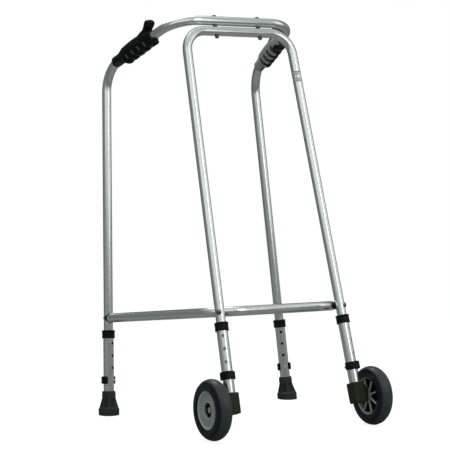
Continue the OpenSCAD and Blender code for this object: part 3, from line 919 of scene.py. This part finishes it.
def wheel_block():
    """Closed pieces of the moulded block, to be fused and softened."""
    low = at_height(FRONT_FOOT, FRONT_UP, BLOCK_LOW_Z)
    length = (at_height(FRONT_FOOT, FRONT_UP, BLOCK_HIGH_Z) - low).length
    half = BLOCK_HALF
    corners = [(-half, -half), (half, -half), (half, half), (-half, half)]
    square = rounded(corners, 7.5, 8)
    softened = (
        (0, 0.93), (0.7, 0.97), (2, 1.0),
        (length - 2, 1.0), (length - 0.7, 0.97), (length, 0.93),
    )
    body = Shape().loops([[(p.x * k, p.y * k, z) for p in square] for z, k in softened])
    body.placed(aimed(low, FRONT_UP, ACROSS))
    out_x, leg_x, y_mid = WHEEL_X - 18.2, AXLE_LEG.x, AXLE_AT.y
    web = [
        (leg_x - 4, WHEEL_R - 11), (out_x - 9, WHEEL_R - 12), (out_x, WHEEL_R - 11),
        (out_x, WHEEL_R + 12), (out_x - 8, WHEEL_R + 28), (leg_x - 4, WHEEL_R + 28),
    ]
    web_rings = [[(x, y_mid + y, z) for x, z in web] for y in (12.5, -12.5)]
    body.add(Shape().loops(web_rings))
    barrel = ((leg_x, 13.2), (out_x - 1, 13.2), (out_x, 12.4))
    rings = [
        [(x, y_mid + r * cos, WHEEL_R + r * sin) for cos, sin in circle(48)]
        for x, r in barrel
    ]
    return body.add(Shape().loops(rings))


def fused(obj, voxel, passes):
    """One skin over overlapping closed pieces, with softened joins."""
    remesh = obj.modifiers.new("Fuse", "REMESH")
    remesh.mode = "VOXEL"
    remesh.voxel_size = voxel * MM
    remesh.use_smooth_shade = True
    soften = obj.modifiers.new("Soften", "SMOOTH")
    soften.factor = 0.5
    soften.iterations = passes


for side, mirror in SIDES:
    wheel = f"wheel_{side}"
    obj = build(
        f"tyre_{side}_solid", tyre().placed(AXLE), TYRE_MAT, wheel,
        mirror, replaces=(f"tyre_{side}",),
    )
    sharp_by_angle(obj, 60)
    obj = build(
        f"wheel_hub_{side}_turned", hub_turned().placed(AXLE), HUB_MAT, wheel,
        mirror, replaces=(f"wheel_hub_{side}",),
    )
    sharp_by_angle(obj, 60)
    obj = build(
        f"wheel_hub_{side}_ribs", hub_ribs().placed(AXLE), HUB_MAT, wheel,
        mirror,
    )
    sharp_by_angle(obj, 40)
    obj = build(
        f"wheel_block_{side}_moulding", wheel_block(), BLOCK_MAT, f"leg_front_{side}",
        mirror, replaces=(f"wheel_block_{side}",),
    )
    fused(obj, 1.1, 8)

# ----------------------------------------------- height holes, blank leg label
SADDLE_MAT = plastic("saddle_nylon", (0.10, 0.115, 0.11), 0.5, 900, 0.05).mat
# Patches that paint the shade inside the height holes: a lighter painted shade on the
# front legs, dark on the rear
HOLE_PAINTED_SHADE_PALE = plastic(
    "hole_shade_pale", (0.30, 0.34, 0.33), 0.5, 600, 0.05, (0.4, 0.44, 0.43)
).mat
HOLE_PAINTED_SHADE = plastic(
    "hole_shade", (0.004, 0.005, 0.005), 0.7, 600, 0.05, (0.01, 0.01, 0.01)
).mat
SHADE_R, SHADE_T, SHADE_AT_R = 3.42, 0.18, 11.42
OPEN_HOLES = 3


def hole_shade(turn, z):
    """A thin patch of painted shade behind a height hole, just outside the inner tube.
    """
    rings = []
    for r in (SHADE_AT_R - SHADE_T, SHADE_AT_R):
        ring = []
        for cos, sin in circle(28):
            around = turn + SHADE_R * cos / SHADE_AT_R
            ring.append((r * math.cos(around), r * math.sin(around), z + SHADE_R * sin))
        rings.append(ring)
    return Shape().loops(rings)


for leg, place in LEGS:
    shades = Shape()
    for i in range(1, OPEN_HOLES + 1):
        for turn in (0, math.pi):
            shades.add(hole_shade(turn, i * HOLE_PITCH))
    shades.placed(place)
    for side, mirror in SIDES:
        build(
            f"height_holes_{leg}_{side}_shade", shades,
            HOLE_PAINTED_SHADE if leg == "rear" else HOLE_PAINTED_SHADE_PALE, f"leg_{leg}_{side}",
            mirror,
        )


LABEL_Z, LABEL_HALF_TURN = 797, 118
LABEL_FACING = Vector((-0.5, -0.866, 0))
LABEL_IN, LABEL_OUT = 0.02, 0.16


def leg_label():
    """A blank film label half round the tube, as a thin closed sheet."""
    high, corner_r = 26.0, 2.0
    half = math.radians(LABEL_HALF_TURN) * TUBE_R
    corners = [(-half, 0.0), (half, 0.0), (half, high), (-half, high)]
    outline = rounded(corners, corner_r, 4)
    dense = []
    for a, b in zip(outline, outline[1:] + outline[:1]):
        parts = max(1, round((b - a).length / 1.2))
        dense += [a.lerp(b, k / parts) for k in range(parts)]
    mid = Vector((0, high / 2))

    def wrapped(share, r):
        flat = [mid.lerp(p, share) for p in dense]
        turns = [p.x / TUBE_R for p in flat]
        return [(r * math.cos(a), r * math.sin(a), p.y) for a, p in zip(turns, flat)]

    # Share of the way from the middle to the rim, and the tone there
    steps = (
        (0.02, 0), (0.25, 0), (0.5, 0), (0.75, 0), (0.86, 0), (0.94, 1), (1.0, 1),
    )
    rings = [wrapped(share, TUBE_R + LABEL_OUT) for share, _ in steps]
    rings += [wrapped(share, TUBE_R + LABEL_IN) for share, _ in reversed(steps)]
    tones = [tone for _, tone in steps]
    return Shape().loops(rings, tones=tones + tones[::-1])


LABEL = Finish("blank_label", (0.56, 0.61, 0.60), 0.45, Specular_IOR_Level=0.4)
LABEL.tint(LABEL.ramp(LABEL.noise(60, 4), 0.45, 0.75, 0.0, 0.4), (0.46, 0.50, 0.50))
LABEL.tone_tint(0.4, 0.6, 0.0, 0.9, (0.10, 0.11, 0.11))
LABEL.rough(LABEL.noise(200, 3), 0.38, 0.5)
LABEL.bump(LABEL.noise(120, 3), 0.005)
label_at = aimed(at_height(FRONT_FOOT, FRONT_UP, LABEL_Z), FRONT_UP, LABEL_FACING)
build(
    "front_leg_left_label", leg_label().placed(label_at), LABEL.mat, "frame",
)

# --------------------------------------------------------- carried-over nodes
CARRIED = {
    "crossbar_bolts": DARK_STEEL,
    "crossbar_nuts": DARK_STEEL,
    "crossbar_saddles": SADDLE_MAT,
    "brace_front_bolts": DARK_STEEL,
    "brace_front_nuts": DARK_STEEL,
    "brace_front_saddles": NYLON,
    "brace_rear_bolts": DARK_STEEL,
    "brace_rear_plugs": NYLON,
}
for side, _ in SIDES:
    CARRIED[f"leg_extension_rear_{side}"] = ALU_LEGS["rear", side]
    CARRIED[f"leg_extension_front_{side}"] = ALU_LEGS["front", side]
    CARRIED[f"block_pin_{side}"] = DARK_STEEL
    for node in ("axle_bolt", "axle_washers"):
        CARRIED[f"{node}_{side}"] = ZINC
    CARRIED[f"hub_bush_{side}"] = BUSH_MAT
for node, material in CARRIED.items():
    for material_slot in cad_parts[node].material_slots:
        material_slot.material = material

# ------------------------------------------------------------- floor and light
VIEW_AZIMUTH, VIEW_ELEVATION = -30, 2.69
VIEW_TARGET, VIEW_DISTANCE = Vector((-0.0637, -0.0308, 0.4616)), 3.813
LENS, SENSOR = 130.95, 36
FLOOR_HALF = 6.0


def seen_or_lit(tree, lit, seen, output):
    """Shows the camera one shader, and light and reflections another."""
    chosen = tree.nodes.new("ShaderNodeMixShader")
    path = tree.nodes.new("ShaderNodeLightPath")
    tree.links.new(path.outputs["Is Camera Ray"], chosen.inputs["Fac"])
    tree.links.new(lit.outputs[0], chosen.inputs[1])
    tree.links.new(seen.outputs[0], chosen.inputs[2])
    tree.links.new(chosen.outputs[0], output.inputs["Surface"])


floor_mat = bpy.data.materials.new("studio_floor")
floor_mat.use_nodes = True
tree = floor_mat.node_tree
floor_bsdf = tree.nodes["Principled BSDF"]
floor_bsdf.inputs["Base Color"].default_value = (0.3, 0.305, 0.305, 1)
floor_bsdf.inputs["Roughness"].default_value = 0.9
glow = node_of(tree, "ShaderNodeEmission", Color=(1, 1, 1, 1), Strength=0.86)
added = tree.nodes.new("ShaderNodeAddShader")
tree.links.new(floor_bsdf.outputs[0], added.inputs[0])
tree.links.new(glow.outputs[0], added.inputs[1])
seen_or_lit(tree, floor_bsdf, added, tree.nodes["Material Output"])

corners = [(-FLOOR_HALF, -FLOOR_HALF), (FLOOR_HALF, -FLOOR_HALF)]
corners += [(FLOOR_HALF, FLOOR_HALF), (-FLOOR_HALF, FLOOR_HALF)]
floor_mesh = bpy.data.meshes.new("studio_floor")
floor_mesh.from_pydata([(x, y, 0) for x, y in corners], [], [(0, 1, 2, 3)])
floor = bpy.data.objects.new("studio_floor", floor_mesh)
floor_mesh.materials.append(floor_mat)
bpy.context.scene.collection.objects.link(floor)

world = bpy.data.worlds.new("studio")
bpy.context.scene.world = world
world.use_nodes = True
tree = world.node_tree
tree.nodes.clear()
out = tree.nodes.new("ShaderNodeOutputWorld")
coords = tree.nodes.new("ShaderNodeTexCoord")


def facing(direction):
    """How far a world direction points along the given one, from -1 to 1."""
    node = tree.nodes.new("ShaderNodeVectorMath")
    node.operation = "DOT_PRODUCT"
    tree.links.new(coords.outputs["Generated"], node.inputs[0])
    node.inputs[1].default_value = direction
    return node.outputs["Value"]


def ranged(source, low, high, a, b):
    return smooth_range(tree, source, low, high, a, b)


def combined(operation, a, b):
    node = tree.nodes.new("ShaderNodeMath")
    node.operation = operation
    tree.links.new(a, node.inputs[0])
    tree.links.new(b, node.inputs[1])
    return node.outputs[0]


TO_FRONT = (-0.139, -0.990, 0.0)
TO_BACK_RIGHT = (0.966, 0.259, 0.0)
TO_LEFT_ABOVE = (-0.75, 0.32, 0.58)
TO_TOP = (0.0, 0.0, 1.0)
room = ranged(facing(TO_FRONT), -0.35, 0.5, 0.045, 0.2)
for direction, light in ((TO_BACK_RIGHT, 0.2), (TO_LEFT_ABOVE, 0.16)):
    room = combined("ADD", room, ranged(facing(direction), 0.3, 0.9, 0.0, light))
room = combined("MULTIPLY", room, ranged(facing(TO_TOP), -0.5, 0.1, 0.75, 1.0))
ceiling = ranged(facing(TO_TOP), 0.5, 0.9, 0.0, 0.45)
room = combined("ADD", room, ceiling)
studio = node_of(tree, "ShaderNodeBackground", Color=(0.96, 1.0, 0.98, 1))
tree.links.new(room, studio.inputs["Strength"])
backdrop = node_of(tree, "ShaderNodeBackground", Color=(1, 1, 1, 1), Strength=1.0)
seen_or_lit(tree, studio, backdrop, out)


def softbox(name, location, target, width, height, power):
    """A soft rectangular light at location, in metres, that faces target."""
    light = bpy.data.lights.new(name, "AREA")
    light.shape = "RECTANGLE"
    light.size, light.size_y = width, height
    light.energy = power
    obj = bpy.data.objects.new(name, light)
    obj.location = location
    aim = Vector(target) - Vector(location)
    obj.rotation_euler = aim.to_track_quat("-Z", "Y").to_euler()
    bpy.context.scene.collection.objects.link(obj)


def panel(name, angle, distance, low, high, width, radiance):
    """An upright soft panel; angle is to the right of the photograph's view."""
    a = math.radians(VIEW_AZIMUTH + angle)
    out = Vector((math.sin(a), -math.cos(a), 0))
    mid = (low + high) / 2
    power = radiance * math.pi * width * (high - low)
    at = out * distance + UP * mid
    softbox(name, at, UP * mid, width, high - low, power)


panel("front_high", -2, 2.1, 1.12, 2.6, 1.7, 0.72)
panel("front_mid", -2, 2.1, 0.78, 1.12, 1.7, 0.38)
panel("key", 44, 2.0, 0.72, 2.6, 1.0, 1.9)
panel("left", -38, 2.0, 0.95, 2.6, 0.6, 0.85)
panel("right_side", 88, 2.0, 0.75, 2.4, 1.1, 0.85)
softbox("overhead", (0.05, 0.75, 2.3), (0, 0.1, 0.5), 1.5, 1.0, 4.5)
softbox("grip_light", (0.12, 0.95, 1.75), (0.19, 0.2, 0.9), 0.5, 0.5, 7)

# -------------------------------------------------------------------- camera
azimuth, elevation = math.radians(VIEW_AZIMUTH), math.radians(VIEW_ELEVATION)
camera_data = bpy.data.cameras.new("camera")
camera_data.lens = LENS
camera_data.sensor_width = SENSOR
camera = bpy.data.objects.new("camera", camera_data)
bpy.context.scene.collection.objects.link(camera)
level = math.cos(elevation)
back = Vector(
    (math.sin(azimuth) * level, -math.cos(azimuth) * level, math.sin(elevation))
)
camera.location = VIEW_TARGET + back * VIEW_DISTANCE
camera.rotation_mode = "QUATERNION"
camera.rotation_quaternion = (-back).to_track_quat("-Z", "Y")
bpy.context.scene.camera = camera
bpy.context.scene.view_settings.view_transform = "Standard"

bpy.context.view_layer.update()
